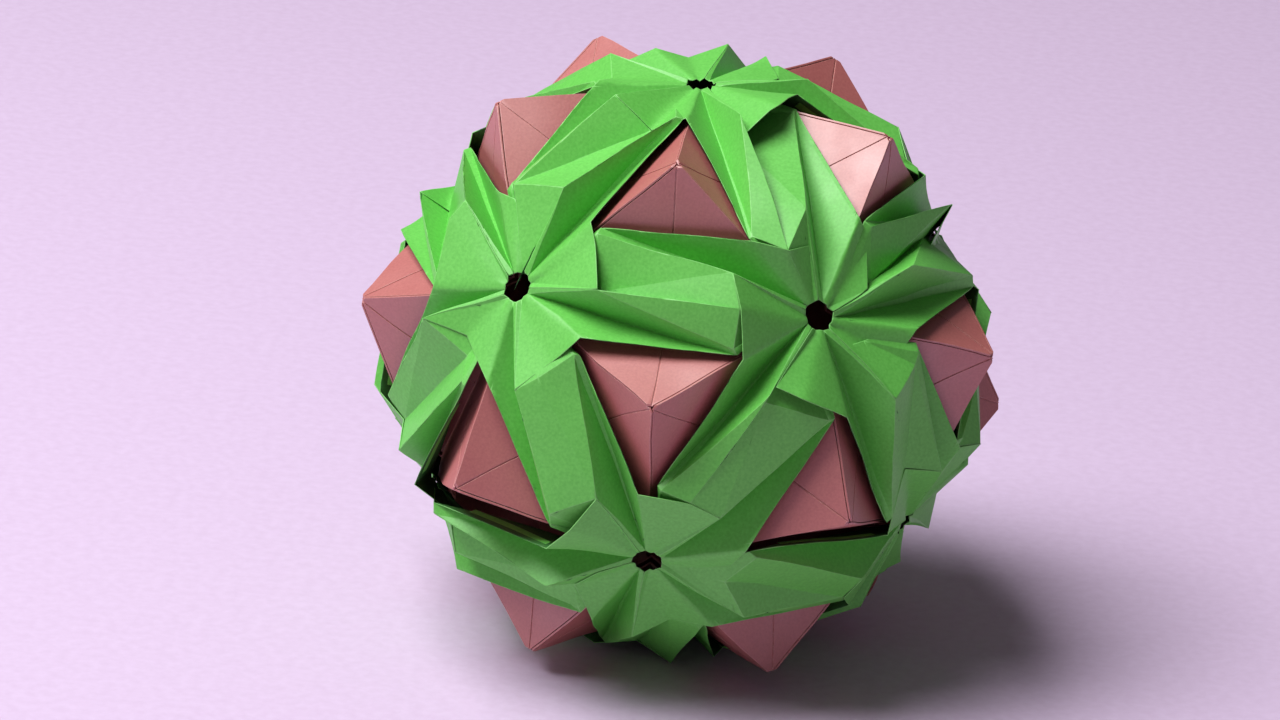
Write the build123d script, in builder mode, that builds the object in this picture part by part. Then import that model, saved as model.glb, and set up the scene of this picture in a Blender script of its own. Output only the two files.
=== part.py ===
from build123d import *
from math import atan, atan2, cos, degrees, radians, sin, sqrt
import numpy as np
import os

# A kusudama ball of folded paper, made of sixty folded pieces in two balls, one round the other.
# The inner ball is thirty rose units. Each is a square pocket folded along its diagonal, and the
# folded diagonals are the edges of an icosahedron. Three units make each of twenty pyramids.
# The outer ball is thirty green units, one pleated strip over each of those edges. Five strips
# meet round each of twelve star holes, and three frame the window that a pyramid shows through.
#
# All sizes are in millimetres. Z is up through the top star hole, and the origin is below the
# centre, in the plane that the ball rests on.

# Paper
paper_square = 75.0      # side of the square that one unit is folded from
sheet = 0.25             # a folded layer: two plies of thin paper and the air between them
slip = 0.12              # free space between a tab and what it is tucked under

# Rose units
star_trim = 1.4          # the corners stop this far short of a star hole's centre
tip_trim = 0.4           # the plates stop this far short of a pyramid's point
seam_width = 0.22        # seam from a pyramid's point down the middle of each plate
seam_depth = 0.12
tab_setback = 2.0        # a tucked tab ends this far short of the fold at the pyramid's foot

# Green units, at the star hole: each foot as its distance from the hole's axis, its bearing
# in degrees clockwise from the edge, and its height over the corner of the inner ball
ridge_foot_place = (2.0, 10, 0.64)
pleat_foot_place = (1.9, 29, 0.39)
wing_foot_place = (1.8, 48, 0.59)
tab_foot_place = (1.8, -7, 0.09)
flap_foot_place = (2.0, 9, 0.64)

# Green units, between two stars: each point as its distance in from the corner of the inner
# ball, its distance to the right of the edge, and its height over the corner
ridge_peak_place = (10.60, 1.94, 8.56)
rim_corner_place = (8.64, 7.26, 7.11)
gutter_end_place = (9.24, -2.71, 5.81)
ridge_end_place = (9.64, -6.67, 6.76)
rim_end_place = (9.15, -7.30, 6.16)

# How far the tab reaches towards the hole along its two creases, and how far its tongue reaches
# under the neighbour's wing, as shares of the wing's two sides
tab_low_share = 0.62
tab_high_share = 0.72
tongue_shares = (0.42, 0.30)
tongue_room = 1.15       # the tongue lies this many layers under the wing

# The hem: where it starts and stops along the rim, as shares of the rim
hem_start_share = 0.06
hem_stop_share = 0.74
hem_side = 6.9           # it rests on the pyramid this far beside the edge
hem_rest = 0.15          # and this far above it
hem_taper = 0.5          # each end of its turned edge is drawn in by this much

# The icosahedron that both balls follow
golden = (1 + sqrt(5)) / 2
base_edge = paper_square / 2
edge_radius = base_edge * golden / 2
corner_radius = base_edge * sqrt(golden * sqrt(5)) / 2
half_edge_angle = degrees(atan2(base_edge / 2, edge_radius))

# One pyramid: three half squares that meet at right angles
leg = base_edge / sqrt(2)
face_radius = base_edge * golden**2 / (2 * sqrt(3))
tip_radius = face_radius + base_edge / sqrt(6)
face_lean = atan2(base_edge / (2 * sqrt(3)), face_radius)
tip_side = tip_radius * sin(face_lean)
tip_height = tip_radius * cos(face_lean)
face_slope = (tip_height - edge_radius) / tip_side
face_angle = atan(face_slope)

# A unit stands over its edge with the middle of the edge on Z, the near star at +X,
# and its right side, as seen from outside when going from the near star, at +Y.
near_corner = Vector(base_edge / 2, 0, edge_radius)
star_axis = Axis((0, 0, 0), near_corner)
star_turn = 72


def half_turn(point):
    """The same point on the other half of a unit, which is alike turned about the middle."""
    return Vector(-point.X, -point.Y, point.Z)


def tip_frame(side):
    """Plane of one plate, from the pyramid's point: X along the tab leg, Y along the open leg."""
    tip = Vector(0, side * tip_side, tip_height)
    tab_corner = Vector(-side * base_edge / 2, 0, edge_radius)
    outward = Vector(0, -side * sin(face_angle), cos(face_angle))
    return Plane(origin=tip, x_dir=tab_corner - tip, z_dir=outward)


plates = [tip_frame(1), tip_frame(-1)]

# Depths of the layers of a plate, from its outer face: front, neighbour's tab, back
tab_depth = sheet + slip
pocket_floor = 2 * sheet + 2 * slip
back_depth = 3 * sheet + 2 * slip
back_setback = back_depth + slip


def strip_outline(top, bottom):
    """Outline across the edge of a layer bent along the diagonal of its square."""
    lean = cos(face_angle)
    reach = tip_side + 1
    rise = reach * face_slope
    return [
        (-reach, edge_radius + rise - top / lean),
        (0, edge_radius - top / lean),
        (reach, edge_radius + rise - top / lean),
        (reach, edge_radius + rise - bottom / lean),
        (0, edge_radius - bottom / lean),
        (-reach, edge_radius + rise - bottom / lean),
    ]


def trim_plates(open_leg, tab_leg):
    """Cut both plates of a layer back from their legs, measured inside the neighbours' faces."""
    for plate in plates:
        split(bisect_by=Plane(plate.from_local_coords((open_leg, 0, 0)), z_dir=plate.x_dir))
        split(bisect_by=Plane(plate.from_local_coords((0, tab_leg, 0)), z_dir=plate.y_dir))


# Front layer of a rose unit, with its points trimmed and a seam down each plate
with BuildPart() as rose_front:
    with BuildSketch(Plane.YZ):
        with BuildLine():
            Polyline(strip_outline(0, sheet), close=True)
        make_face()
    extrude(amount=base_edge / 2 - star_trim, both=True)
    trim_plates(0, tab_depth)
    for plate in plates:
        middle = plate.x_dir + plate.y_dir
        near_tip = plate.from_local_coords((tip_trim / sqrt(2), tip_trim / sqrt(2), 0))
        split(bisect_by=Plane(near_tip, z_dir=middle))
        with BuildSketch(plate):
            with Locations((leg / 4, leg / 4)):
                Rectangle(base_edge / 2, seam_width, rotation=45)
        extrude(amount=-seam_depth, mode=Mode.SUBTRACT)

# Back layer: the floor of the two pockets
with BuildPart() as rose_back:
    with BuildSketch(Plane.YZ):
        with BuildLine():
            Polyline(strip_outline(pocket_floor, back_depth), close=True)
        make_face()
    extrude(amount=base_edge / 2 - star_trim - slip, both=True)
    trim_plates(back_setback, tab_depth)

# Tabs: each is bent down at its leg and fills the pocket of the next unit
with BuildPart() as rose_tabs:
    for plate in plates:
        fold = plate.from_local_coords((0, tab_depth, 0))
        with BuildSketch(Plane(fold, x_dir=plate.x_dir, z_dir=plate.y_dir)):
            with BuildLine():
                Polyline(
                    (pocket_floor, 0),
                    (leg - tab_setback, 0),
                    (pocket_floor, leg - tab_setback - pocket_floor),
                    close=True,
                )
            make_face()
        extrude(amount=sheet)

with BuildPart() as rose_unit:
    add(rose_front.part)
    add(rose_back.part)
    add(rose_tabs.part)


# Places of the fold points of a green unit
def at_corner(place):
    """A point given by its distance in from the near corner, to the right, and above."""
    inward, right, above = place
    return near_corner + Vector(-inward, right, above)


def at_star(place):
    """A point round the star hole, given by its reach, its bearing and its lift."""
    reach, bearing, lift = place
    bend = radians(half_edge_angle)
    along = Vector(-cos(bend), 0, sin(bend))
    up = Vector(sin(bend), 0, cos(bend))
    swing = radians(bearing)
    return up * (corner_radius + lift) + along * reach * cos(swing) + Vector(0, reach * sin(swing), 0)


def next_round(point):
    """The point carried one fifth clockwise round the near star, where the next unit is."""
    return point.rotate(star_axis, -star_turn)


def last_round(point):
    """The point carried one fifth back round the near star, where the unit before is."""
    return point.rotate(star_axis, star_turn)


def between(start, end, share):
    return start + (end - start) * share


def outward_normal(a, b, c):
    normal = (b - a).cross(c - a).normalized()
    return normal if normal.dot(a) > 0 else -normal


# The ridge, the pleat behind it and the wing start at feet round the hole.
layer_step = sheet + slip
ridge_peak = at_corner(ridge_peak_place)
rim_corner = at_corner(rim_corner_place)
gutter_end = at_corner(gutter_end_place)
ridge_end = half_turn(at_corner(ridge_end_place))
rim_end = half_turn(at_corner(rim_end_place))
ridge_foot = at_star(ridge_foot_place)
pleat_foot = at_star(pleat_foot_place)
wing_foot = at_star(wing_foot_place)
tab_foot = at_star(tab_foot_place)

# On its left the unit has a tab in two planes. The unit before covers it with a flap that lies
# one layer higher, so the flap's points are this unit's tab points raised and carried round.
low_face = outward_normal(tab_foot, gutter_end, ridge_peak)
high_face = outward_normal(tab_foot, ridge_peak, ridge_foot)
raise_crease = (low_face + high_face) * (layer_step / (1 + low_face.dot(high_face)))
tab_low = between(gutter_end, tab_foot, tab_low_share)
tab_high = between(ridge_peak, tab_foot, tab_high_share)
flap_low = next_round(gutter_end + low_face * layer_step)
flap_high = next_round(ridge_peak + raise_crease)
flap_root = next_round(tab_foot + raise_crease)
flap_foot = next_round(at_star(flap_foot_place) + high_face * layer_step)

# The tab's tongue reaches under the wing of the unit before.
wing_face = outward_normal(rim_corner, wing_foot, flap_low)
along_wing, along_flap = tongue_shares
under_wing = rim_corner + (wing_foot - rim_corner) * along_wing + (flap_low - rim_corner) * along_flap
tongue = last_round(under_wing - wing_face * layer_step * tongue_room)

# The rim is hemmed: a narrow strip is turned under and rests on the side of the pyramid.
hem_height = edge_radius + hem_side * face_slope + hem_rest / cos(face_angle)
hem_start = between(rim_corner, rim_end, hem_start_share)
hem_stop = between(rim_corner, rim_end, hem_stop_share)
hem_low_start = Vector(hem_start.X - hem_taper, hem_side, hem_height)
hem_low_stop = Vector(hem_stop.X + hem_taper, hem_side, hem_height)

near_points = {
    "ridge_peak": ridge_peak,
    "ridge_end": ridge_end,
    "ridge_foot": ridge_foot,
    "pleat_foot": pleat_foot,
    "wing_foot": wing_foot,
    "rim_corner": rim_corner,
    "rim_end": rim_end,
    "hem_start": hem_start,
    "hem_stop": hem_stop,
    "hem_low_start": hem_low_start,
    "hem_low_stop": hem_low_stop,
    "gutter_end": gutter_end,
    "tab_low": tab_low,
    "tab_high": tab_high,
    "tongue": tongue,
    "flap_low": flap_low,
    "flap_high": flap_high,
    "flap_root": flap_root,
    "flap_foot": flap_foot,
}

# Flat panels between the creases, named by their corners counterclockwise from outside
near_panels = [
    "ridge_peak ridge_foot pleat_foot",
    "ridge_end ridge_peak pleat_foot",
    "rim_end ridge_end pleat_foot",
    "hem_stop rim_end pleat_foot",
    "hem_start hem_stop pleat_foot",
    "rim_corner hem_start pleat_foot",
    "wing_foot rim_corner pleat_foot",
    "flap_low rim_corner wing_foot",
    "flap_root flap_low wing_foot",
    "flap_high flap_low flap_root",
    "flap_foot flap_high flap_root",
    "hem_low_stop hem_stop hem_start",
    "hem_low_start hem_low_stop hem_start",
    "gutter_end ridge_peak far_gutter_end",
    "ridge_peak ridge_end far_gutter_end",
    "tab_low ridge_peak gutter_end",
    "tab_low tab_high ridge_peak",
    "tab_high ridge_foot ridge_peak",
    "gutter_end far_ridge_end tab_low",
    "far_ridge_end tongue tab_low",
    "far_ridge_end far_rim_end tongue",
]


def other_half(name):
    return name[4:] if name.startswith("far_") else "far_" + name


def inner_point(point, normals):
    """The point one sheet inside all the panels that meet at a fold point."""
    faces = np.array([tuple(normal) for normal in normals])
    mean = faces.sum(axis=0)
    mean /= np.linalg.norm(mean)
    hold = 0.02
    spread = faces.T @ faces + hold * np.eye(3)
    pull = faces.T @ np.full(len(faces), sheet) + hold * sheet * mean
    step = np.linalg.solve(spread, pull)
    longest = 2.2 * sheet
    step *= min(1, longest / np.linalg.norm(step))
    return point - Vector(*step)


def folded_sheet(points, panels):
    """A solid sheet from its outer fold points and panels, closed along its free edges."""
    normals = {name: [] for name in points}
    for a, b, c in panels:
        normal = (points[b] - points[a]).cross(points[c] - points[a]).normalized()
        for name in (a, b, c):
            normals[name].append(normal)
    inner = {name: inner_point(points[name], normals[name]) for name in points}
    edges = {(p, q) for a, b, c in panels for p, q in ((a, b), (b, c), (c, a))}
    outlines = [[points[a], points[b], points[c]] for a, b, c in panels]
    outlines += [[inner[c], inner[b], inner[a]] for a, b, c in panels]
    for p, q in sorted(edges):
        if (q, p) not in edges:
            outlines.append([points[q], points[p], inner[p]])
            outlines.append([points[q], inner[p], inner[q]])
    faces = [Face(Wire.make_polygon(outline)) for outline in outlines]
    return Solid(Shell(faces))


fold_points = dict(near_points)
panels = []
for name, point in near_points.items():
    fold_points[other_half(name)] = half_turn(point)
for line in near_panels:
    corners = line.split()
    panels.append(corners)
    panels.append([other_half(name) for name in corners])

with BuildPart() as green_unit:
    add(folded_sheet(fold_points, panels))

# The ball stands on the five flap corners that cover the ridge peaks round its bottom star.
rest_height = flap_high.dot(star_axis.direction)
ring_height = 1 / sqrt(5)
front_bearing = -90


def star_direction(height, bearing):
    """Direction of a star hole from the centre, from its height and its compass bearing."""
    level = sqrt(1 - height**2)
    turn = radians(bearing)
    return Vector(level * cos(turn), level * sin(turn), height)


top_star = Vector(0, 0, 1)
bottom_star = Vector(0, 0, -1)
half_step = star_turn / 2
upper_stars = [star_direction(ring_height, front_bearing - half_step + star_turn * n) for n in range(5)]
lower_stars = [star_direction(-ring_height, front_bearing + star_turn * n) for n in range(5)]

edges = {}
for n in range(5):
    after = (n + 1) % 5
    edges[f"top_{n + 1}"] = (top_star, upper_stars[n])
    edges[f"upper_{n + 1}"] = (upper_stars[n], upper_stars[after])
    edges[f"belt_{2 * n + 1}"] = (upper_stars[n], lower_stars[n])
    edges[f"belt_{2 * n + 2}"] = (upper_stars[after], lower_stars[n])
    edges[f"lower_{n + 1}"] = (lower_stars[n], lower_stars[after])
    edges[f"bottom_{n + 1}"] = (bottom_star, lower_stars[n])

os.makedirs("parts", exist_ok=True)
for edge_name, (near, far) in edges.items():
    seat = Plane(origin=(0, 0, rest_height), x_dir=near - far, z_dir=near + far)
    for colour, unit in (("green", green_unit), ("rose", rose_unit)):
        with BuildPart() as placed:
            with Locations(seat):
                add(unit.part)
        placed.part.label = f"{colour}_{edge_name}"
        export_step(placed.part, f"parts/{colour}_{edge_name}.step")
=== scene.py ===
# %% [markdown]
# A kusudama is a ball folded from many equal sheets of paper. This one has thirty rose sheets in
# an inner ball of pyramids and thirty green ones in a cage round it. Such a ball could be built
# from flat shapes with a little thickness, but the creases are what the eye follows. So each green
# sheet is folded from its own crease pattern.

# %% Load the frame
import bpy
import bmesh
from math import atan2, cos, degrees, radians, sin, sqrt
from mathutils import Matrix, Vector


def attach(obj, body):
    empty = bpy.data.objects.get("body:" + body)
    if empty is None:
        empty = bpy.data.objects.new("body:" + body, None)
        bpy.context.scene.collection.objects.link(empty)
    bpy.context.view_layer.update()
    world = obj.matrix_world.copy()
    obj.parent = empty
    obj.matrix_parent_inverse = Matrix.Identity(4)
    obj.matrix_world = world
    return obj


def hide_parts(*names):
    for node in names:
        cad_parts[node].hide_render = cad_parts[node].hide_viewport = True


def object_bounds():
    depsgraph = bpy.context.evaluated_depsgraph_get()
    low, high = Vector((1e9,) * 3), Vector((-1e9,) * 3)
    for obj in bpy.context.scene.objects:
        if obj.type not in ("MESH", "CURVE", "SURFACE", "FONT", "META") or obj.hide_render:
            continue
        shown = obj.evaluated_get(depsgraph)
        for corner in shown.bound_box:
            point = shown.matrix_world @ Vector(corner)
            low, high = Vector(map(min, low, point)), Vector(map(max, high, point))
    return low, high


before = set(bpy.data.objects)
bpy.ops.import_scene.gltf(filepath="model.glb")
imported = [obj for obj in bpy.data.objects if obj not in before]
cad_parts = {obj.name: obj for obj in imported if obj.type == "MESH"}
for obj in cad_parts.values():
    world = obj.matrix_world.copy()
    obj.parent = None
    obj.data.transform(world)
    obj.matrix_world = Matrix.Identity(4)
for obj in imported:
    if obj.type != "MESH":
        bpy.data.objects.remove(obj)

scene = bpy.context.scene
scene.view_settings.view_transform = "Standard"
cad_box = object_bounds()
bpy.ops.object.select_all(action="DESELECT")
print("CAD parts:", len(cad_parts))

# %% [markdown]
# The camera comes first, so that each fold can be held against the photograph as it is made. It
# could be moved by hand until the picture looks right, but that hides small errors in the turn of
# the ball. So its bearing, height, roll and distance come from a fit, in which the star holes and
# the tips of the pyramids had to land where the photograph shows them.

# %% Where the camera looks from
MM = 0.001
ball_centre = Vector((0, 0, 37.701 * MM))
camera_bearing = radians(5.206)
camera_height = radians(20.356)
camera_roll = radians(3.448)
camera_distance = 1.02655
frame_right = -5.59 * MM
frame_up = -1.05 * MM

level = cos(camera_height)
back = Vector((sin(camera_bearing) * level, -cos(camera_bearing) * level, sin(camera_height)))
level_right = Vector((0, 0, 1)).cross(back).normalized()
level_up = back.cross(level_right)
view_right = level_right * cos(camera_roll) + level_up * sin(camera_roll)
view_up = -level_right * sin(camera_roll) + level_up * cos(camera_roll)
aim = ball_centre + view_right * frame_right + view_up * frame_up
print("towards the camera:", [round(x, 3) for x in back])

# %% [markdown]
# A camera near the ball would swell the papers in front. A long lens from a metre away keeps the
# far side of the ball nearly as large as its near side, as in the photograph.

# %% Add the camera
bpy.ops.object.camera_add()
camera = bpy.context.object
camera.name = "camera"
camera.data.lens = 225
camera.data.sensor_width = 36
camera.data.clip_start = 0.05
camera.data.clip_end = 20
turned = Matrix((view_right, view_up, back)).transposed().to_4x4()
turned.translation = aim + back * camera_distance
camera.matrix_world = turned
scene.camera = camera
print("camera at", [round(x, 3) for x in turned.translation])

# %% [markdown]
# Both balls follow an icosahedron, a solid with twelve corners and thirty edges. Each corner is a
# star hole, and each edge carries one rose and one green unit. An icosphere from the Add menu has
# that shape too, but the units need its measures: how far out its edges and corners lie. They are
# worked out from the square of paper that a unit is folded from, in millimetres.

# %% Sizes of the ball
paper_square = 75.0
golden = (1 + sqrt(5)) / 2
base_edge = paper_square / 2
edge_radius = base_edge * golden / 2
corner_radius = base_edge * sqrt(golden * sqrt(5)) / 2
half_edge = atan2(base_edge / 2, edge_radius)
near_corner = Vector((base_edge / 2, 0, edge_radius))
print("edges lie", round(edge_radius, 2), "mm out and corners", round(corner_radius, 2), "mm")

# %% [markdown]
# There is a star hole at the top, a ring of five above the middle, a ring of five below it, and
# one at the bottom. A unit is known by the two stars that it joins. Numbers would do as names, but
# words show in the list of pieces where on the ball a sheet sits.

# %% Stars and units
star_turn = 72
upper_bearing = -126
lower_bearing = -90
ring_height = 1 / sqrt(5)


def star(height, bearing):
    """The direction of a star hole, seen from the middle of the ball."""
    flat = sqrt(1 - height**2)
    return Vector((flat * cos(radians(bearing)), flat * sin(radians(bearing)), height))


stars = {"top": Vector((0, 0, 1)), "bottom": Vector((0, 0, -1))}
for n in range(5):
    stars[f"upper_{n + 1}"] = star(ring_height, upper_bearing + star_turn * n)
    stars[f"lower_{n + 1}"] = star(-ring_height, lower_bearing + star_turn * n)
units = {}
for n in range(1, 6):
    after = n % 5 + 1
    units[f"top_{n}"] = ("top", f"upper_{n}")
    units[f"upper_{n}"] = (f"upper_{n}", f"upper_{after}")
    units[f"belt_{2 * n - 1}"] = (f"upper_{n}", f"lower_{n}")
    units[f"belt_{2 * n}"] = (f"upper_{after}", f"lower_{n}")
    units[f"lower_{n}"] = (f"lower_{n}", f"lower_{after}")
    units[f"bottom_{n}"] = ("bottom", f"lower_{n}")
print("stars:", len(stars), "units:", len(units))

# %% [markdown]
# A green sheet is a strip with a ridge, a pleat behind it, and a wing on each side. A flat plane
# could be folded up step by step, but then a change at one crease moves everything after it. So
# the sheet is known by its fold points, where the creases meet. Most are given from the corner of
# the pyramids' base, and those beside the star hole by a reach and a bearing round it.

# %% Fold points of one green unit
def at_corner(inward, right, above):
    return near_corner + Vector((-inward, right, above))


def at_hole(reach, bearing, lift):
    along = Vector((-cos(half_edge), 0, sin(half_edge)))
    up = Vector((sin(half_edge), 0, cos(half_edge)))
    swing = radians(bearing)
    rim = up * (corner_radius + lift)
    return rim + along * reach * cos(swing) + Vector((0, reach * sin(swing), 0))


own_points = {
    "ridge_foot": at_hole(2.0, 10, 0.64),
    "pleat_foot": at_hole(1.9, 29, 0.39),
    "wing_foot": at_hole(1.8, 48, 0.59),
    "tab_foot": at_hole(1.8, -7, 0.09),
    "cover_foot": at_hole(2.0, 9, 0.64),
    "ridge_peak": at_corner(10.60, 1.94, 8.56),
    "rim_corner": at_corner(8.64, 7.26, 7.11),
    "gutter_end": at_corner(9.24, -2.71, 5.81),
    "far_ridge_end": at_corner(9.64, -6.67, 6.76),
    "far_rim_end": at_corner(9.15, -7.30, 6.16),
}
print("fold points of one half:", len(own_points))

# %% [markdown]
# A unit looks the same from both its stars. Mirroring would turn its pleat the wrong way, so the
# far half is the near half turned half round.

# %% The far half
def half_turn(point):
    return Vector((-point.x, -point.y, point.z))


def other_half(name):
    """The name of the same point in the other half."""
    return name[4:] if name.startswith("far_") else "far_" + name


for name in list(own_points):
    own_points[other_half(name)] = half_turn(own_points[name])
print("own fold points:", len(own_points))

# %% [markdown]
# Thirty hand-folded units aren't all alike. Random shifts would make them differ too, but not as
# the real ones do. So each pull below moves one fold point of one unit to where the photograph
# shows it, by millimetres to the right and up in the picture.

# %% Pulls
pulls = {
    ("top_1", "ridge_peak"): (-0.2, -0.3),
    ("top_1", "gutter_end"): (-0.8, -2.6),
    ("top_1", "ridge_end"): (0.1, 0.4),
    ("top_1", "far_ridge_peak"): (0.4, 0.1),
    ("top_1", "far_gutter_end"): (-2.7, 2.1),
    ("top_1", "far_rim_corner"): (0.3, -0.5),
    ("top_1", "far_flap_low"): (-1.1, 5.6),
    ("top_2", "ridge_peak"): (0, -0.4),
    ("top_2", "gutter_end"): (-2.2, -5.0),
    ("top_2", "rim_corner"): (-1.0, -0.8),
    ("top_2", "ridge_end"): (-0.8, -0.9),
    ("top_2", "rim_end"): (-0.6, -0.4),
    ("top_2", "far_ridge_peak"): (-1.8, -0.3),
    ("top_2", "far_gutter_end"): (0.5, -2.3),
    ("top_2", "far_ridge_end"): (0.3, -0.9),
    ("top_2", "far_rim_end"): (0.4, -0.6),
    ("top_2", "far_flap_low"): (-0.3, 5.5),
    ("top_3", "far_ridge_peak"): (-0.6, 0.6),
    ("top_3", "flap_low"): (4.0, 6.1),
    ("top_3", "flap_high"): (0.6, -2.4),
    ("top_5", "rim_corner"): (1.3, -0.3),
    ("upper_1", "ridge_peak"): (0, 0.9),
    ("upper_1", "gutter_end"): (1.2, -3.4),
    ("upper_1", "rim_corner"): (0.3, 0.5),
    ("upper_1", "far_ridge_peak"): (0.2, 0.6),
    ("upper_1", "far_gutter_end"): (-0.1, 1.4),
    ("upper_1", "far_ridge_end"): (-0.4, -0.3),
    ("upper_1", "far_rim_end"): (0.5, -0.1),
    ("upper_1", "flap_low"): (1.8, 1.9),
    ("upper_2", "ridge_peak"): (-0.3, 2.0),
    ("upper_2", "ridge_end"): (0.5, 0.8),
    ("upper_2", "rim_end"): (0.6, 0),
    ("upper_2", "gutter_end"): (-0.9, -2.8),
    ("upper_2", "far_ridge_peak"): (0.1, 1.7),
    ("upper_2", "far_rim_corner"): (-0.6, 0.5),
    ("upper_2", "far_rim_end"): (0.1, 0.5),
    ("upper_2", "far_gutter_end"): (-3.8, 1.9),
    ("upper_2", "flap_low"): (-3.2, 0),
    ("upper_5", "ridge_peak"): (0.3, 0.6),
    ("upper_5", "gutter_end"): (-0.4, -5.0),
    ("upper_5", "far_ridge_peak"): (1.0, 1.7),
    ("upper_5", "far_gutter_end"): (-2.7, -2.0),
    ("upper_5", "far_rim_corner"): (0.5, -0.1),
    ("upper_5", "far_ridge_end"): (-0.4, -0.3),
    ("upper_5", "far_rim_end"): (-0.3, -0.4),
    ("upper_5", "far_flap_low"): (0, -1.9),
    ("belt_1", "gutter_end"): (-1.4, -1.9),
    ("belt_1", "rim_corner"): (0.8, 0.4),
    ("belt_1", "far_gutter_end"): (-3.8, 0),
    ("belt_1", "far_rim_corner"): (-0.6, 0),
    ("belt_1", "far_ridge_end"): (0.1, 0.5),
    ("belt_1", "far_rim_end"): (0.4, -0.5),
    ("belt_1", "flap_low"): (0, 2.6),
    ("belt_2", "ridge_peak"): (-0.3, 0.6),
    ("belt_2", "gutter_end"): (-4.9, -0.2),
    ("belt_2", "rim_corner"): (-0.2, 0.4),
    ("belt_2", "rim_end"): (0.5, 0.5),
    ("belt_2", "far_ridge_peak"): (-0.5, 0.5),
    ("belt_2", "far_gutter_end"): (0.8, 0.3),
    ("belt_2", "far_flap_low"): (0.1, 1.5),
    ("belt_3", "ridge_peak"): (1.1, 0.5),
    ("belt_3", "gutter_end"): (3.5, 0),
    ("belt_3", "far_gutter_end"): (-0.3, 3.8),
    ("belt_3", "far_ridge_end"): (0.8, -0.6),
    ("belt_3", "far_rim_end"): (0.6, -0.3),
    ("belt_3", "flap_low"): (4.9, 0.4),
    ("belt_4", "flap_low"): (0.8, -0.8),
    ("belt_10", "ridge_peak"): (-1.0, 2.7),
    ("belt_10", "rim_corner"): (0.4, 1.0),
    ("belt_10", "far_ridge_peak"): (-0.6, -0.9),
    ("belt_10", "far_rim_corner"): (-1.4, 0),
    ("belt_10", "far_rim_end"): (-1.8, -0.3),
    ("belt_10", "far_ridge_end"): (-1.2, 0.3),
    ("belt_10", "flap_low"): (1.8, 7.0),
    ("lower_1", "ridge_peak"): (0.1, -1.1),
    ("lower_1", "gutter_end"): (-1.5, -1.2),
    ("lower_1", "far_gutter_end"): (-1.4, -2.6),
    ("lower_1", "far_ridge_peak"): (-0.4, -0.8),
    ("lower_1", "far_ridge_end"): (0.5, 0),
    ("lower_5", "rim_corner"): (-1.0, -0.3),
    ("lower_5", "rim_end"): (-0.6, -0.5),
    ("lower_5", "far_ridge_peak"): (0.6, -2.0),
    ("lower_5", "far_rim_corner"): (-0.1, -1.4),
    ("lower_5", "far_ridge_end"): (-0.5, -2.2),
    ("lower_5", "far_rim_end"): (-0.4, -1.7),
    ("lower_5", "far_flap_low"): (2.4, -2.0),
}
print("pulled points:", len(pulls))

# %% [markdown]
# Round a star, each unit's flap lies over the tab of the next unit. On the real ball some flaps
# stop short of the ridge, and one slips under the tab. A share says how far the corner of the flap
# over that unit's tab falls back from the ridge towards the flap's root.

# %% Flaps that stop short or slip under
short_covers = {
    ("top_1", "far_"): 0.75,
    ("top_2", "far_"): 0.40,
    ("top_3", ""): 0.37,
    ("upper_2", ""): 0.54,
    ("belt_2", ""): 0.12,
    ("lower_1", ""): 0.12,
    ("lower_5", "far_"): 0.58,
}
tucked_covers = [("top_1", "far_")]
print("short flaps:", len(short_covers), "tucked flaps:", len(tucked_covers))

# %% [markdown]
# Each unit has a seat on the ball: the turn and the place of its edge. A finished sheet could be
# turned there as an object, but then every sheet would be folded alike. So the seat moves the fold
# points, the pulls move some of them further, and only then is the sheet made.

# %% Seat the fold points
seats = {}
places = {}
for unit, (near, far) in units.items():
    along = (stars[near] - stars[far]).normalized()
    up = (stars[near] + stars[far]).normalized()
    seat = Matrix((along, up.cross(along), up)).transposed().to_4x4()
    seat.translation = ball_centre / MM
    seats[unit] = seat
    for name, point in own_points.items():
        places[unit, name] = seat @ point


def pull(key):
    right, up = pulls[key]
    places[key] += view_right * right + view_up * up


for key in pulls:
    if key in places:
        pull(key)
print("seated fold points:", len(places))

# %% [markdown]
# The photograph shows where a pulled point is across the view, but not how deep. Left at its old
# depth it would twist the panel beside it, and real paper stays nearly flat. So each pulled gutter
# end is slid along the line of sight, half of the way to the flat panel and a few times over,
# because its neighbours move too. A panel seen edge on says nothing about depth and is left out.

# %% Depth of the gutters
most_slide = 2.5
slide_rounds = 3
slide_share = 0.5
nearly_edge_on = 0.3


def outward_normal(a, b, c):
    """The outward side of a panel whose corners run clockwise as seen from outside."""
    return (c - a).cross(b - a).normalized()


for n in range(slide_rounds):
    for unit in units:
        for half in ("", "far_"):
            if (unit, half + "gutter_end") not in pulls:
                continue
            names = (half + "ridge_peak", half + "ridge_end", other_half(half + "gutter_end"))
            peak, end, other_gutter = (places[unit, name] for name in names)
            face = outward_normal(peak, end, other_gutter)
            height = (places[unit, half + "gutter_end"] - peak).dot(face)
            facing = back.dot(face)
            if abs(facing) > nearly_edge_on:
                slide = max(-most_slide, min(most_slide, -height / facing))
                places[unit, half + "gutter_end"] += back * slide * slide_share
print("pulled gutter ends:", sum("gutter_end" in name for unit, name in pulls))

# %% [markdown]
# One gutter still came out too shallow, and its panel caught light that it doesn't have in the
# photograph. It is pressed in, as a thumb would press it, straight away from the camera.

# %% A gutter pressed in
sunk_gutters = {("upper_1", "gutter_end"): 2.5}
for key, depth in sunk_gutters.items():
    places[key] -= back * depth
print("gutters pressed in by hand:", len(sunk_gutters))

# %% [markdown]
# Five units meet round a star and hold each other: flap over tab, tongue under wing. To stack them
# in the right order, each end of a unit has to know the end that follows. A table of neighbours
# could be typed in, but a turn of one fifth about the star finds them without a slip.

# %% The next unit round a star
end_of = {}
for unit, (near, far) in units.items():
    end_of[near, far] = (unit, "")
    end_of[far, near] = (unit, "far_")


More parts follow.
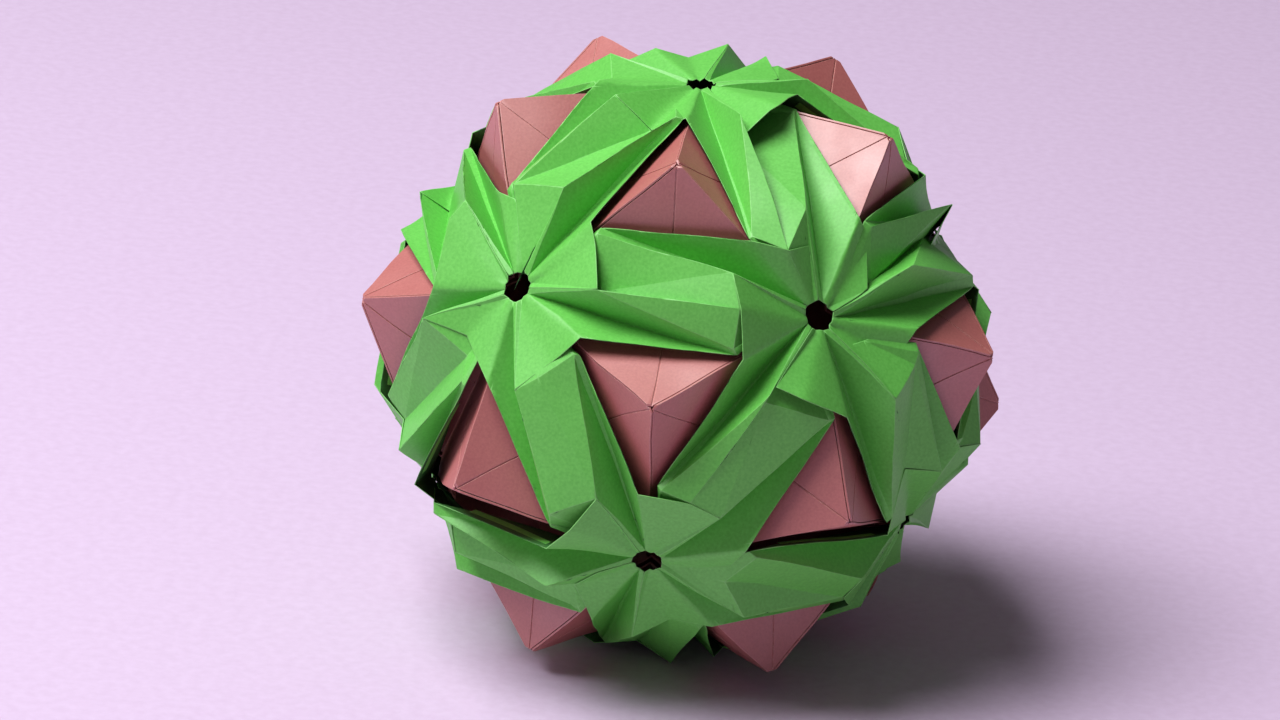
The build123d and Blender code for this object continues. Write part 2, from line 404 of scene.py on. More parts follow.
def next_end(here, there):
    """The unit end that comes next clockwise round the star, as seen from outside."""
    turn = Matrix.Rotation(-radians(star_turn), 3, stars[here])
    after = turn @ stars[there]
    name = min(stars, key=lambda other: (stars[other] - after).length)
    return end_of[here, name]


print("after the near end of top_1 comes", next_end(*units["top_1"]))

# %% [markdown]
# The tab is the part of a sheet that a neighbour's flap covers. If flaps and tabs were both placed
# by their own unit, they would cut into each other. So the cover is found from the tab: the same
# corners, one layer further out along both of the tab's faces. A layer is a sheet and the slip of
# air that loose paper has. A hidden tab reaches two thirds of the way to its foot. Where the flap
# is tucked in, its layer is counted inwards, and the open tab reaches nearly all the way.

# %% Tabs and what covers them
sheet = 0.11
slip = 0.12
layer_step = sheet + slip
hidden_tab = (0.62, 0.72)
open_tab = (0.97, 0.97)


def share(start, end, part):
    return start + (end - start) * part


for unit, half in end_of.values():
    names = ("tab_foot", "gutter_end", "ridge_peak", "ridge_foot")
    tab_foot, gutter_end, ridge_peak, ridge_foot = (places[unit, half + name] for name in names)
    low_face = outward_normal(tab_foot, gutter_end, ridge_peak)
    high_face = outward_normal(tab_foot, ridge_peak, ridge_foot)
    both_faces = low_face + high_face
    widening = 1 + low_face.dot(high_face)
    tucked = (unit, half) in tucked_covers
    step = -layer_step if tucked else layer_step
    low_reach, high_reach = open_tab if tucked else hidden_tab
    root = tab_foot + both_faces * (step / widening)
    peak = ridge_peak + both_faces * (step / 2 / widening)
    back_from_ridge = short_covers.get((unit, half), 0)
    places[unit, half + "tab_low"] = share(gutter_end, tab_foot, low_reach)
    places[unit, half + "tab_high"] = share(ridge_peak, tab_foot, high_reach)
    places[unit, half + "cover_low"] = gutter_end + low_face * step
    places[unit, half + "cover_root"] = root
    places[unit, half + "cover_high"] = share(peak, root, back_from_ridge)
    places[unit, half + "cover_foot"] += high_face * step / 2
print("tabs covered:", len(end_of), "with", round(layer_step, 2), "mm between layers")

# %% [markdown]
# A flap takes its corners from the cover over the next unit's tab, so the papers stay stacked
# wherever the pulls took them. The tongue slides under the wing of the unit before and is hidden.
# It could be left out, but then nothing would hold the cage together, and light would come through
# the slits. It ends inside the wing's outline, a little more than one layer below it.

# %% Flaps and tongues
tongue_inward = 0.42
tongue_aside = 0.30
tongue_layers = 1.15
for (here, there), (unit, half) in end_of.items():
    after, after_half = next_end(here, there)
    for name in ("low", "high", "root", "foot"):
        key = unit, f"{half}flap_{name}"
        places[key] = places[after, f"{after_half}cover_{name}"].copy()
        if key in pulls:
            pull(key)
    rim_corner = places[unit, half + "rim_corner"]
    wing_foot = places[unit, half + "wing_foot"]
    flap_low = places[unit, half + "flap_low"]
    wing_face = outward_normal(rim_corner, flap_low, wing_foot)
    to_foot = (wing_foot - rim_corner) * tongue_inward
    to_flap = (flap_low - rim_corner) * tongue_aside
    under = rim_corner + to_foot + to_flap
    places[after, after_half + "tongue"] = under - wing_face * layer_step * tongue_layers
print("tongues:", sum(name.endswith("tongue") for unit, name in places))

# %% [markdown]
# The rim of a wing is folded over into a narrow hem, which shows as a second line of paper along
# the window. A thicker rim would look alike from afar, but a real layer catches its own light. It
# starts and stops a little inside the corners, so that it stays clear of the neighbour.

# %% Hems
hem_width = 2.2
hem_ends = {"start": 0.06, "stop": 0.74}
for unit in units:
    for half in ("", "far_"):
        names = ("rim_corner", "rim_end", "pleat_foot")
        corner, end, foot = (places[unit, half + name] for name in names)
        wing_face = outward_normal(corner, foot, end)
        along = (end - corner).normalized()
        inwards = along.cross(wing_face)
        if inwards.dot(foot - corner) < 0:
            inwards = -inwards
        for name, part in hem_ends.items():
            rim_point = share(corner, end, part)
            low_point = rim_point + inwards * hem_width - wing_face * layer_step
            places[unit, f"{half}hem_{name}"] = rim_point
            places[unit, f"{half}hem_low_{name}"] = low_point
print("fold points in all:", len(places))

# %% [markdown]
# The crease pattern of one sheet comes next, panel by panel, each by its three corners. Four
# corners could span a panel too, but a pulled point would twist it, and three never do. The word
# before each panel is the part of the sheet that it belongs to. Folds inside a part are soft, and
# folds between two parts are creased.

# %% Panels of one net
near_panels = [
    ("slope", "ridge_peak ridge_foot pleat_foot"),
    ("pleat", "ridge_end ridge_peak pleat_foot"),
    ("inner pleat", "rim_end ridge_end pleat_foot"),
    ("wing", "hem_stop rim_end pleat_foot"),
    ("wing", "hem_start hem_stop pleat_foot"),
    ("wing", "rim_corner hem_start pleat_foot"),
    ("wing", "wing_foot rim_corner pleat_foot"),
    ("wing", "flap_low rim_corner wing_foot"),
    ("wing", "flap_root flap_low wing_foot"),
    ("wing", "flap_high flap_low flap_root"),
    ("flap tip", "flap_foot flap_high flap_root"),
    ("hem", "hem_low_stop hem_stop hem_start"),
    ("hem", "hem_low_start hem_low_stop hem_start"),
    ("side", "gutter_end ridge_peak far_gutter_end"),
    ("side", "ridge_peak ridge_end far_gutter_end"),
    ("side", "tab_low ridge_peak gutter_end"),
    ("side", "tab_low tab_high ridge_peak"),
    ("tab tip", "tab_high ridge_foot ridge_peak"),
    ("tongue", "gutter_end far_ridge_end tab_low"),
    ("tongue", "far_ridge_end tongue tab_low"),
    ("tongue", "far_ridge_end far_rim_end tongue"),
]
panels = []
for part, line in near_panels:
    panels.append((part, line.split()))
    panels.append(("far " + part, [other_half(name) for name in line.split()]))
fold_names = sorted({name for part, names in panels for name in names})
print("panels:", len(panels), "from", len(fold_names), "fold points")

# %% [markdown]
# The net is modelled once and copied for every unit. It starts as a circle with one corner for
# each fold point. The circle's edges go, and the loose points are laid out on one unit. The net
# gets four empty material slots: the paper and its inner side, and the same two for the hem.

# %% A ring of loose points
paper_slots = 4
hem_slot = 2


def work_on(piece):
    """Select one piece and nothing else, because operators act on all that is selected."""
    bpy.ops.object.select_all(action="DESELECT")
    piece.select_set(True)
    bpy.context.view_layer.objects.active = piece


def lay_out(piece, unit):
    """Move every point of a net to its fold point on the given unit."""
    for point, name in zip(piece.data.vertices, fold_names):
        point.co = places[unit, name] * MM


bpy.ops.mesh.primitive_circle_add(vertices=len(fold_names), radius=base_edge * MM)
net = bpy.context.object
net.name = "green_net"
bpy.ops.object.mode_set(mode="EDIT")
bpy.ops.mesh.select_all(action="SELECT")
bpy.ops.mesh.delete(type="EDGE_FACE")
bpy.ops.object.mode_set(mode="OBJECT")
lay_out(net, "top_1")
for n in range(paper_slots):
    net.data.materials.append(None)
print("loose points:", len(net.data.vertices))

# %% [markdown]
# Every panel is filled as by hand: its three points are selected, and the F key's operator makes
# the face. Extruding from edge to edge would make new points, to be merged with these one by one.

# %% Fill the panels
bpy.ops.object.mode_set(mode="EDIT")
bpy.ops.mesh.select_mode(type="VERT")
for part, names in panels:
    bpy.ops.mesh.select_all(action="DESELECT")
    editing = bmesh.from_edit_mesh(net.data)
    editing.verts.ensure_lookup_table()
    for name in names:
        editing.verts[fold_names.index(name)].select_set(True)
    editing.select_flush(True)
    bpy.ops.mesh.edge_face_add()
bpy.ops.object.mode_set(mode="OBJECT")
print("filled panels:", len(net.data.polygons))

# %% [markdown]
# The coloured side of the paper faces out, and the sheet gets its thickness on the other side. So
# all panels have to face alike. The operator sees to that, but on an open sheet it may pick the
# wrong side. One side panel that has to face out is looked at, and if it faces in, all are turned.

# %% Turn the coloured side out
bpy.ops.object.mode_set(mode="EDIT")
bpy.ops.mesh.select_all(action="SELECT")
bpy.ops.mesh.normals_make_consistent(inside=False)
bpy.ops.object.mode_set(mode="OBJECT")
middle_panel = next(n for n, (part, names) in enumerate(panels) if part == "side")
side_panel = net.data.polygons[middle_panel]
if side_panel.normal.dot(side_panel.center - ball_centre) < 0:
    bpy.ops.object.mode_set(mode="EDIT")
    bpy.ops.mesh.flip_normals()
    bpy.ops.object.mode_set(mode="OBJECT")
for polygon, (part, names) in zip(net.data.polygons, panels):
    polygon.material_index = hem_slot if part.endswith("hem") else 0
print("hem panels:", sum(polygon.material_index == hem_slot for polygon in net.data.polygons))

# %% [markdown]
# A crease is where two parts of the sheet meet. The angle between panels could tell the creases
# apart, but a flat panel that a pull has bent would then get one too. So the names decide, and
# each crease is marked as a seam, which the copies keep.

# %% Mark the creases
parts_at = {}
for part, names in panels:
    for n in range(3):
        parts_at.setdefault(frozenset((names[n], names[n - 1])), set()).add(part)
for point in net.data.vertices:
    point.select = False
for polygon in net.data.polygons:
    polygon.select = False
for edge in net.data.edges:
    ends = frozenset(fold_names[n] for n in edge.vertices)
    edge.select = len(parts_at[ends]) > 1
bpy.ops.object.mode_set(mode="EDIT")
bpy.ops.mesh.select_mode(type="EDGE")
bpy.ops.mesh.mark_seam(clear=False)
bpy.ops.object.mode_set(mode="OBJECT")
print("creases:", sum(edge.use_seam for edge in net.data.edges))

# %% [markdown]
# A crease in paper isn't a knife edge: it is a narrow strip that turns and catches the light. A
# bevel would cut such strips too, but not along the cut edges of the sheet. So the parts are split
# along the creases, set in a little all round, and joined again. The mesh keeps an attribute that
# is 1 on creases and cut edges and 0 inside the parts, for the steps that follow.

# %% Strips beside the creases
fold_width = 0.13 * MM
same_point = 0.001 * MM


def crease_strips(piece):
    """Set in every part of the sheet, and note in "fold" which points lie on a crease or edge."""
    work_on(piece)
    fold = piece.data.attributes.new("fold", "FLOAT", "POINT")
    fold.data.foreach_set("value", [1] * len(fold.data))
    for point in piece.data.vertices:
        point.select = False
    for polygon in piece.data.polygons:
        polygon.select = False
    for edge in piece.data.edges:
        edge.select = edge.use_seam
    bpy.ops.object.mode_set(mode="EDIT")
    bpy.ops.mesh.select_mode(type="EDGE")
    bpy.ops.mesh.edge_split(type="EDGE")
    bpy.ops.mesh.select_mode(type="FACE")
    bpy.ops.mesh.select_all(action="SELECT")
    bpy.ops.mesh.inset(thickness=fold_width, use_even_offset=True)
    bpy.ops.object.mode_set(mode="OBJECT")
    fold = piece.data.attributes["fold"]
    for polygon in piece.data.polygons:
        if polygon.select:
            for n in polygon.vertices:
                fold.data[n].value = 0
    bpy.ops.object.mode_set(mode="EDIT")
    bpy.ops.mesh.select_all(action="SELECT")
    bpy.ops.mesh.remove_doubles(threshold=same_point)
    bpy.ops.object.mode_set(mode="OBJECT")


print("strip beside a crease:", round(fold_width / MM, 2), "mm")

# %% [markdown]
# Large panels can't bend. A subdivision level would cut them all alike and waste faces on the
# narrow strips, so only edges that are still too long are halved, a few rounds over.

# %% Cut the paper fine
def cut_fine(piece, longest, rounds):
    """Halve every edge that is longer than the given length, a few rounds over."""
    work_on(piece)
    bpy.ops.object.mode_set(mode="EDIT")
    bpy.ops.mesh.select_mode(type="EDGE")
    for n in range(rounds):
        bpy.ops.mesh.select_all(action="DESELECT")
        bpy.ops.object.mode_set(mode="OBJECT")
        mesh = piece.data
        for edge in mesh.edges:
            a, b = (mesh.vertices[i].co for i in edge.vertices)
            edge.select = (a - b).length > longest
        bpy.ops.object.mode_set(mode="EDIT")
        bpy.ops.mesh.subdivide(number_cuts=1)
        bpy.ops.mesh.select_all(action="SELECT")
        bpy.ops.mesh.quads_convert_to_tris(quad_method="BEAUTY", ngon_method="BEAUTY")
    bpy.ops.object.mode_set(mode="OBJECT")


green_edge_length = 1.5 * MM
green_rounds = 5
print("longest edge in a green sheet:", round(green_edge_length / MM, 2), "mm")

# %% [markdown]
# Inside a part the paper bends softly where the net has a hard corner. Smoothing the whole sheet
# would wash out the creases, so only points away from every crease and edge are moved, and those
# next to a strip are held. Cutting has given the points between a value between, so the attribute
# counts only within a hair of 0 or 1.

# %% Soften the folds inside a part
hair = 0.01


def soften(piece, times):
    """Smooth the points that lie away from every crease and edge."""
    work_on(piece)
    mesh = piece.data
    fold = [item.value for item in mesh.attributes["fold"].data]
    free = [value < hair for value in fold]
    held = set()
    for edge in mesh.edges:
        a, b = edge.vertices
        if free[a] != free[b]:
            held.update((a, b))
    for polygon in mesh.polygons:
        polygon.select = False
    for edge in mesh.edges:
        edge.select = False
    for point in mesh.vertices:
        point.select = free[point.index] and point.index not in held
    bpy.ops.object.mode_set(mode="EDIT")
    bpy.ops.mesh.select_mode(type="VERT")
    bpy.ops.mesh.vertices_smooth(factor=0.5, repeat=times)
    bpy.ops.object.mode_set(mode="OBJECT")


green_smoothing = 8
print("rounds of smoothing:", green_smoothing)

# %% [markdown]
# The creases that stand up and the cut edges get a paler line, and a valley never does. It is
# partly dye that handling wears off, and partly a painted highlight where these edges catch the
# light. A line drawn in a texture would be as good, but the mesh already knows its creases. So
# they are noted in an attribute, which the material reads later.

# %% Where the dye wears off and a highlight is painted
sharp_bend = radians(25)


def mark_wear_and_highlight(piece):
    """Note the creases that stand up and the cut edges: dye that wears off and a painted
    highlight.
    """
    mesh = piece.data
    fold = [item.value for item in mesh.attributes["fold"].data]
    wear_and_highlight = mesh.attributes.new("wear_and_highlight", "FLOAT", "POINT")
    beside = {}
    for polygon in mesh.polygons:
        for key in polygon.edge_keys:
            beside.setdefault(key, []).append(polygon)
    for key, sides in beside.items():
        if min(fold[n] for n in key) < 1 - hair:
            continue
        first, second = sides[0], sides[-1]
        stands_up = first.normal.dot(second.center - first.center) < 0
        bent = first.normal.angle(second.normal, 0) > sharp_bend
        if len(sides) == 1 or (stands_up and bent):
            for n in key:
                wear_and_highlight.data[n].value = 1


# the paler line on these folds is partly dye that wears off, partly a painted highlight
print("dye wears off folds of more than", round(degrees(sharp_bend)), "degrees")

# %% [markdown]
# Loose paper isn't quite flat, and its reflections wander. Noise on every sheet by itself would
# push stacked layers into each other. One slow wave in space bends all of them together, so they
# stay apart. Its colours push each point along all three axes.

# %% One wave through all sheets
wave_depth = 0.9 * MM
wave = bpy.data.textures.new("paper_wave", "CLOUDS")
wave.noise_scale = 15 * MM
wave.noise_depth = 1
wave.cloud_type = "COLOR"


def apply_last(piece):
    bpy.ops.object.modifier_apply(modifier=piece.modifiers[-1].name)


def ripple(piece, depth):
    """Push every point by the wave, up to half of the depth each way."""
    work_on(piece)
    bpy.ops.object.modifier_add(type="DISPLACE")
    bend = piece.modifiers[-1]
    bend.texture = wave
    bend.texture_coords = "LOCAL"
    bend.direction = "RGB_TO_XYZ"
    bend.mid_level = 0.5
    bend.strength = depth
    apply_last(piece)


def keep_inside(piece):
    """Bring back any point that the wave took out of the CAD's box."""
    low, high = cad_box
    for point in piece.data.vertices:
        point.co = [max(low[n], min(high[n], point.co[n])) for n in range(3)]


print("waves about", round(wave.noise_scale / MM), "mm long")

# %% [markdown]
# A sheet without thickness has no edge to see. Solidify gives it one, on the inner side, so that
# the outside stays where it was placed, and puts the wall's material one slot further on. At a hem
# two layers touch, so each is thinner there.

# %% Give the paper its thickness
def add_thickness(piece, thickness, thinner):
    """Thicken the sheet on its inner side, and less so at the hem, where two layers touch."""
    work_on(piece)
    hems = [polygon for polygon in piece.data.polygons if polygon.material_index == hem_slot]
    at_hem = {n for polygon in hems for n in polygon.vertices}
    group = piece.vertex_groups.new(name="thickness")
    for point in piece.data.vertices:
        group.add([point.index], thinner if point.index in at_hem else 1, "REPLACE")
    bpy.ops.object.modifier_add(type="SOLIDIFY")
    wall = piece.modifiers[-1]
    wall.thickness = thickness
    wall.offset = -1
    wall.vertex_group = group.name
    wall.material_offset = 1
    apply_last(piece)


hem_thickness = 0.45
print("sheet:", sheet, "mm thick, and at a hem", round(sheet * hem_thickness, 2), "mm")

# %% [markdown]
# Flat shading would show every small face, and plain smooth shading rounds off the creases. The
# weighted normals let the large faces win, so that panels stay flat and only the strips turn.

# %% Shade smooth
flat_weight = 90


def smooth_shading(piece, weight):
    work_on(piece)
    bpy.ops.object.shade_smooth()
    bpy.ops.object.modifier_add(type="WEIGHTED_NORMAL")
    piece.modifiers[-1].weight = weight
    apply_last(piece)


print("weight of the larger faces:", flat_weight, "of 100")

# %% [markdown]
# Now the cage can be folded. Linked copies of one sheet would be lighter, but every real sheet is
# folded a little differently. So each is a copy of the net with its own mesh, laid out on its own
# unit's fold points and taken through all the steps above.

# %% Thirty green sheets
green_sheets = {}
for unit in units:
    piece = net.copy()
    piece.data = net.data.copy()
    piece.name = f"green_sheet_{unit}"
    scene.collection.objects.link(piece)
    lay_out(piece, unit)
    crease_strips(piece)
    cut_fine(piece, green_edge_length, green_rounds)
    soften(piece, green_smoothing)
    mark_wear_and_highlight(piece)
    ripple(piece, wave_depth)
    keep_inside(piece)
    add_thickness(piece, sheet * MM, hem_thickness)
    smooth_shading(piece, flat_weight)
    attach(piece, "root")
    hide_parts(f"green_{unit}")
    green_sheets[unit] = piece
bpy.data.objects.remove(net)
print("triangles in one green sheet:", len(green_sheets["top_1"].data.polygons))

# %% [markdown]
# The rose units are stiff pockets with flat faces. They could be folded from a net too, but the
# CAD solids already have every face, so a copy of each is finished here. A CAD mesh is loose
# triangles: its doubles are merged and its flat faces joined, or no edge could be rounded. The
# corners under the star holes and the tips are cut back, because the photograph shows only
# darkness at the one and a small opening at the other.

# %% Trim a rose sheet
face_radius = base_edge * golden**2 / (2 * sqrt(3))
tip_radius = face_radius + base_edge / sqrt(6)
face_lean = atan2(base_edge / (2 * sqrt(3)), face_radius)
corner_trim = 4.2
tip_trim = 0.6
weld = 0.01 * MM
flat_within = radians(1)


def cut_off(place, outwards):
    """Cut along a plane, drop what lies outside it and close the cut."""
    bpy.ops.mesh.select_all(action="SELECT")
    bpy.ops.mesh.bisect(plane_co=place * MM, plane_no=outwards, use_fill=True, clear_outer=True)


def trim(piece, seat):
    """Merge the CAD's triangles into faces and cut the corners and tips back."""
    work_on(piece)
    bpy.ops.object.mode_set(mode="EDIT")
    bpy.ops.mesh.select_all(action="SELECT")
    bpy.ops.mesh.remove_doubles(threshold=weld)
    bpy.ops.mesh.dissolve_limited(angle_limit=flat_within)
    for side in (1, -1):
        corner = Vector((side * (base_edge / 2 - corner_trim), 0, edge_radius))
        cut_off(seat @ corner, seat.to_3x3() @ Vector((side, 0, 0)))
        to_tip = Vector((0, side * sin(face_lean), cos(face_lean)))
        cut_off(seat @ (to_tip * (tip_radius - tip_trim)), seat.to_3x3() @ to_tip)
    bpy.ops.object.mode_set(mode="OBJECT")


print("tips lie", round(tip_radius - tip_trim, 2), "mm out")

# %% [markdown]
# A fold of stiff coated paper is round and paler than the panels beside it. A bevel on all sharp
# edges makes both: it rounds them, and gives the new faces the second material.

# %% Round its edges
rose_rounding = 0.07 * MM
sharp_edge = radians(30)


def round_edges(piece):
    bpy.ops.object.modifier_add(type="BEVEL")
    rounding = piece.modifiers[-1]
    rounding.limit_method = "ANGLE"
    rounding.angle_limit = sharp_edge
    rounding.width = rose_rounding
    rounding.segments = 2
    rounding.material = 1
    piece.data.materials.clear()
    piece.data.materials.append(None)
    piece.data.materials.append(None)
    apply_last(piece)


print("rose edges rounded by", round(rose_rounding / MM, 2), "mm")

# %% [markdown]
# Thirty rose sheets follow, each a copy of its CAD solid. They bend with the same wave as the
# green ones, so that the two balls stay apart. Their panels are stiffer, so a coarser cut will do.

# %% Thirty rose sheets
rose_edge_length = 3 * MM
rose_rounds = 4
rose_sheets = {}
for unit in units:
    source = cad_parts[f"rose_{unit}"]
    piece = source.copy()
    piece.data = source.data.copy()
    piece.name = f"rose_sheet_{unit}"
    piece.parent = None
    scene.collection.objects.link(piece)
    piece.hide_render = False
    trim(piece, seats[unit])
    round_edges(piece)
    cut_fine(piece, rose_edge_length, rose_rounds)
    ripple(piece, wave_depth)
    keep_inside(piece)
    smooth_shading(piece, flat_weight)
    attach(piece, "root")
    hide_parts(f"rose_{unit}")
    rose_sheets[unit] = piece
print("triangles in one rose sheet:", len(rose_sheets["top_1"].data.polygons))

# %% [markdown]
# The papers get their finish next. Colours are picked from a screen, where a number twice as large
# isn't twice as bright. Shaders count light, so each colour is turned from the one to the other.

# %% Colours
def linear(hex_colour):
    """A colour as picked from a screen, turned into the values that shaders work with."""
    values = []
    for n in (0, 2, 4):
        part = int(hex_colour[n:n + 2], 16) / 255
        values.append(part / 12.92 if part <= 0.04045 else ((part + 0.055) / 1.055) ** 2.4)
    return (*values, 1)


print("half grey for a shader:", round(linear("808080")[0], 3))

# %% [markdown]
# A material is a small web of nodes. It could be drawn in the node editor with the mouse. In a
# script, one function adds any node and fills its inputs, and it hands back the output that the
# next node reads. A node can hold several inputs of one name, and only the enabled one counts.

# %% Nodes
def set_inputs(material, node, inputs):
    """An input is given a number, a colour, or another node's output to link."""
    for name, value in inputs.items():
        socket = next(one for one in node.inputs if one.name == name and one.enabled)
        if isinstance(value, bpy.types.NodeSocket):
            material.node_tree.links.new(value, socket)
        else:
            socket.default_value = value


def add_node(material, kind, output, inputs, **settings):
    """Add a shader node with its settings and inputs, and return the output of that name."""
    node = material.node_tree.nodes.new(kind)
    for name, value in settings.items():
        setattr(node, name, value)
    set_inputs(material, node, inputs)
    return next(one for one in node.outputs if one.name == output and one.enabled)


def new_material(title, ior):
    """A material, its shader, and the place on the piece that its patterns follow."""
    material = bpy.data.materials.new(title)
    material.use_nodes = True
    shader = material.node_tree.nodes["Principled BSDF"]
    shader.inputs["IOR"].default_value = ior
    return material, shader, add_node(material, "ShaderNodeTexCoord", "Object", {})


print("materials so far:", len(bpy.data.materials))

# %% [markdown]
# No paper has one even colour: its fibres take the dye unevenly. A photograph of paper could be
# laid over it, but a noise at the size of the fibres works at any distance and has no seams. Its
# values crowd in the middle, so that middle is spread out between two near tones.

# %% Two tones of one paper
noise_middle = {"From Min": 0.3, "From Max": 0.7}


def two_tones(material, pattern, darker, paler):
    """Run from the darker to the paler colour over the middle of a noise."""
    inputs = {"Value": pattern, "To Min": 0, "To Max": 1, **noise_middle}
    amount = add_node(material, "ShaderNodeMapRange", "Result", inputs)
    inputs = {"Factor": amount, "A": linear(darker), "B": linear(paler)}
    return add_node(material, "ShaderNodeMix", "Result", inputs, data_type="RGBA")


print("most of a noise lies between", *noise_middle.values())

# %% [markdown]
# The green sheets are dyed folding paper with a satin surface. To the eye that is a soft sheen in
# patches, fine fibres about half a millimetre long, and paler lines along the raised folds and cut
# edges, partly dye that wears off and partly a painted highlight. The sheen comes from roughness
# and the light, and none of it is painted on.

# %% Green satin paper
fibre_size = 0.4 * MM
patch_size = 9 * MM
green_relief = 0.01 * MM
most_wear_and_highlight = 0.22
green_paper, shader, place = new_material("green_satin_paper", 1.52)
inputs = {"Vector": place, "Scale": 1 / fibre_size, "Detail": 3}
fibres = add_node(green_paper, "ShaderNodeTexNoise", "Fac", inputs)
inputs = {"Vector": place, "Scale": 1 / patch_size, "Detail": 2}
patches = add_node(green_paper, "ShaderNodeTexNoise", "Fac", inputs)
dyed = two_tones(green_paper, fibres, "60BA4A", "6DC856")
# BCF5AA on the raised folds and cut edges is partly dye that wears off, partly a painted highlight
wear_and_highlight = add_node(green_paper, "ShaderNodeAttribute", "Fac", {}, attribute_name="wear_and_highlight")
inputs = {"Value": wear_and_highlight, "To Max": most_wear_and_highlight}
wear_and_highlight_share = add_node(green_paper, "ShaderNodeMapRange", "Result", inputs)
inputs = {"Factor": wear_and_highlight_share, "A": dyed, "B": linear("BCF5AA")}
coloured = add_node(green_paper, "ShaderNodeMix", "Result", inputs, data_type="RGBA")
inputs = {"Value": patches, "To Min": 0.42, "To Max": 0.54, **noise_middle}
sheen = add_node(green_paper, "ShaderNodeMapRange", "Result", inputs)
inputs = {"Height": fibres, "Strength": 1, "Distance": green_relief}
relief = add_node(green_paper, "ShaderNodeBump", "Normal", inputs)
set_inputs(green_paper, shader, {"Base Color": coloured, "Roughness": sheen, "Normal": relief})
print(green_paper.name, "nodes:", len(green_paper.node_tree.nodes))

# %% [markdown]
# The back of the green sheets has no satin finish. It faces the dark inside of the ball, and its
# colour is painted shade: a deep dull green, far darker than the paper's front. Its own material
# keeps it from glowing through the slits.

# %% Inner side of the green paper, in painted shade
painted_shade_inside, shader, place = new_material("green_paper_inside_painted_shade", 1.5)
inputs = {"Vector": place, "Scale": 1 / fibre_size, "Detail": 3}
threads = add_node(painted_shade_inside, "ShaderNodeTexNoise", "Fac", inputs)
# 2A6428 and 33722F are painted shade for the side that faces the inside of the ball
painted_shade_tones = two_tones(painted_shade_inside, threads, "2A6428", "33722F")
set_inputs(painted_shade_inside, shader, {"Base Color": painted_shade_tones, "Roughness": 0.6})
print(painted_shade_inside.name, "nodes:", len(painted_shade_inside.node_tree.nodes))

# %% [markdown]
# The rose sheets are coated with pearl: flakes of mica in a clear binder. They bend light more
# than plain paper does and give a broad pale sheen with a fine sparkle, here a third of a
# millimetre across so that it shows. A metallic surface would look too hard, so the higher IOR
# does this work.

# %% Rose pearl paper
flake_size = 0.33 * MM
cloud_size = 6 * MM
rose_relief = 0.012 * MM
rose_paper, shader, place = new_material("rose_pearl_paper", 2.1)
inputs = {"Vector": place, "Scale": 1 / flake_size, "Detail": 2}
speckles = add_node(rose_paper, "ShaderNodeTexNoise", "Fac", inputs)
inputs = {"Vector": place, "Scale": 1 / cloud_size, "Detail": 3}
clouds = add_node(rose_paper, "ShaderNodeTexNoise", "Fac", inputs)
pearl = two_tones(rose_paper, speckles, "B05B57", "BC6862")
inputs = {"Value": clouds, "To Min": 0.48, "To Max": 0.58, **noise_middle}
sheen = add_node(rose_paper, "ShaderNodeMapRange", "Result", inputs)
inputs = {"Height": speckles, "Strength": 1, "Distance": rose_relief}
relief = add_node(rose_paper, "ShaderNodeBump", "Normal", inputs)
set_inputs(rose_paper, shader, {"Base Color": pearl, "Roughness": sheen, "Normal": relief})
print(rose_paper.name, "nodes:", len(rose_paper.node_tree.nodes))

# %% [markdown]
# The coating cracks along a sharp fold, and the pale core of the paper shows. To the eye each fold
# is a thin light line. It is a material of its own on the rounded edges, so it follows them
# exactly.

# %% Folded edges of the rose paper
crack_size = 0.4 * MM
rose_edge, shader, place = new_material("rose_paper_edge", 1.5)
inputs = {"Vector": place, "Scale": 1 / crack_size, "Detail": 2}
cracks = add_node(rose_edge, "ShaderNodeTexNoise", "Fac", inputs)
pale = two_tones(rose_edge, cracks, "C67F77", "EBC0B6")
set_inputs(rose_edge, shader, {"Base Color": pale, "Roughness": 0.5})
print(rose_edge.name, "nodes:", len(rose_edge.node_tree.nodes))

# %% [markdown]
# The ball stands on lilac card. Card is dull and has a faint tooth, which keeps a large flat
# surface from looking empty.

# %% Lilac card for the floor
tooth_size = 1.5 * MM
floor_card, shader, place = new_material("lilac_card", 1.5)
inputs = {"Vector": place, "Scale": 1 / tooth_size, "Detail": 2}
tooth = add_node(floor_card, "ShaderNodeTexNoise", "Fac", inputs)
card = two_tones(floor_card, tooth, "D4BDDB", "DAC4E2")
set_inputs(floor_card, shader, {"Base Color": card, "Roughness": 0.7})
print(floor_card.name, "nodes:", len(floor_card.node_tree.nodes))

# %% [markdown]
# The slots were left empty until the papers were ready. Solidify and the bevel have already sorted
# the faces into them, so each slot only needs its paper. The inner side of a hem faces out again,
# so it is green on both sides.

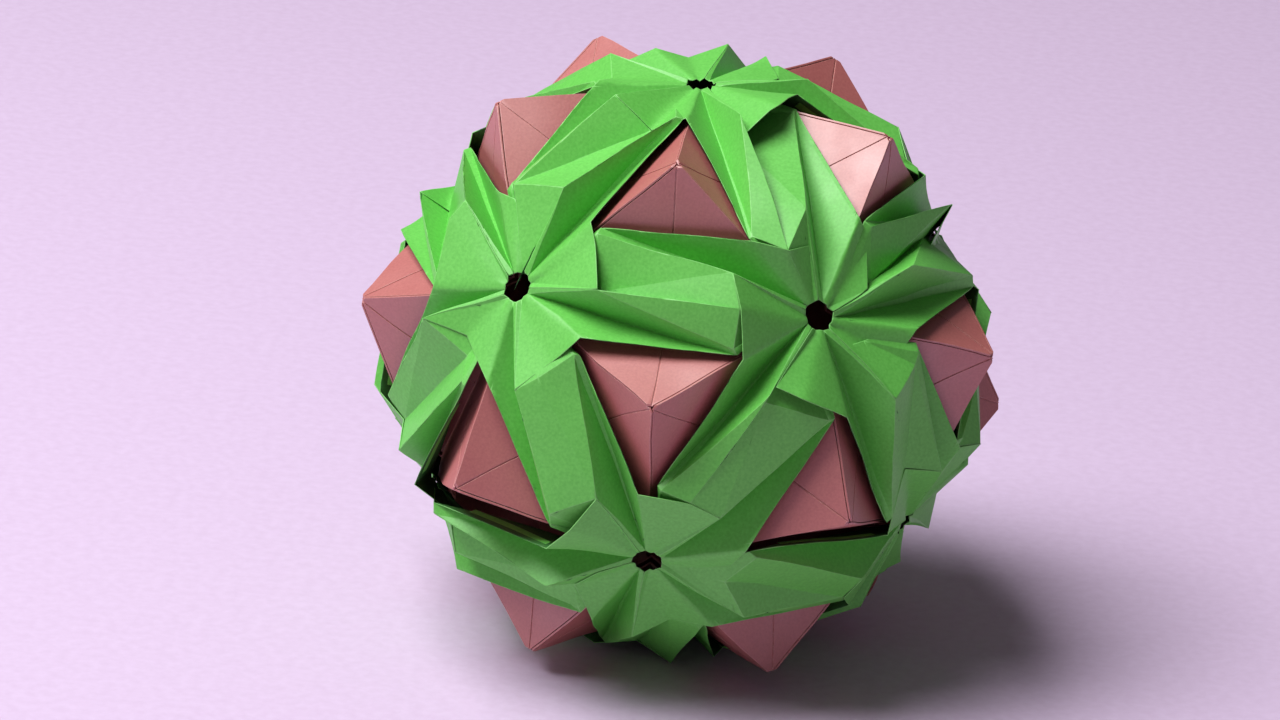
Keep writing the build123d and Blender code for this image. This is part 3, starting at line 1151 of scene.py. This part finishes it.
# %% Hand out the papers
green_slots = (green_paper, painted_shade_inside, green_paper, green_paper)
rose_slots = (rose_paper, rose_edge)
for sheets, slots in ((green_sheets, green_slots), (rose_sheets, rose_slots)):
    for piece in sheets.values():
        for n, material in enumerate(slots):
            piece.data.materials[n] = material
print("materials:", [material.name for material in bpy.data.materials])

# %% [markdown]
# The floor is a plain sheet of that card, wide enough that its edges stay out of every view.

# %% Floor
floor_width = 6
bpy.ops.mesh.primitive_plane_add(size=floor_width)
floor = bpy.context.object
floor.name = "floor"
floor.data.materials.append(floor_card)
print("floor:", floor_width, "m wide")

# %% [markdown]
# The photograph is lit by one soft window from the upper left. A sun lamp would give hard shadows,
# so a square area light stands for the window, and a weaker and lower one beside it brightens the
# panels that the first one only grazes.

# %% Windows
def add_window(title, bearing, height, distance, size, energy):
    """A square soft light at a bearing and height in degrees, turned to the ball's middle."""
    level = cos(radians(height))
    across, ahead = cos(radians(bearing)) * level, sin(radians(bearing)) * level
    way = Vector((across, ahead, sin(radians(height))))
    bpy.ops.object.light_add(type="AREA", location=ball_centre + way * distance)
    window = bpy.context.object
    window.name = title
    window.data.size = size
    window.data.energy = energy
    window.rotation_euler = way.to_track_quat("Z", "Y").to_euler()


add_window("window", bearing=-162, height=63, distance=0.95, size=0.6, energy=13)
add_window("side_window", bearing=-165, height=40, distance=1.1, size=0.6, energy=1)

# %% [markdown]
# Walls and ceiling send a little light back into the shadows. They could be built, but an even
# glow from all round does the same. It is faintly mauve, as the shadows are in the photograph.

# %% Light of the room
room_colour = (1, 0.86, 0.97, 1)
room_strength = 0.1
world = bpy.data.worlds.new("room")
world.use_nodes = True
world.node_tree.nodes["Background"].inputs["Color"].default_value = room_colour
world.node_tree.nodes["Background"].inputs["Strength"].default_value = room_strength
scene.world = world
print("room light:", room_strength)

# %% [markdown]
# Last, the size of the CAD box is printed in millimetres. The dressing may not make the ball
# larger.

# %% Size of the CAD box
print("the CAD box in mm:", [round((high - low) / MM, 1) for low, high in zip(*cad_box)])
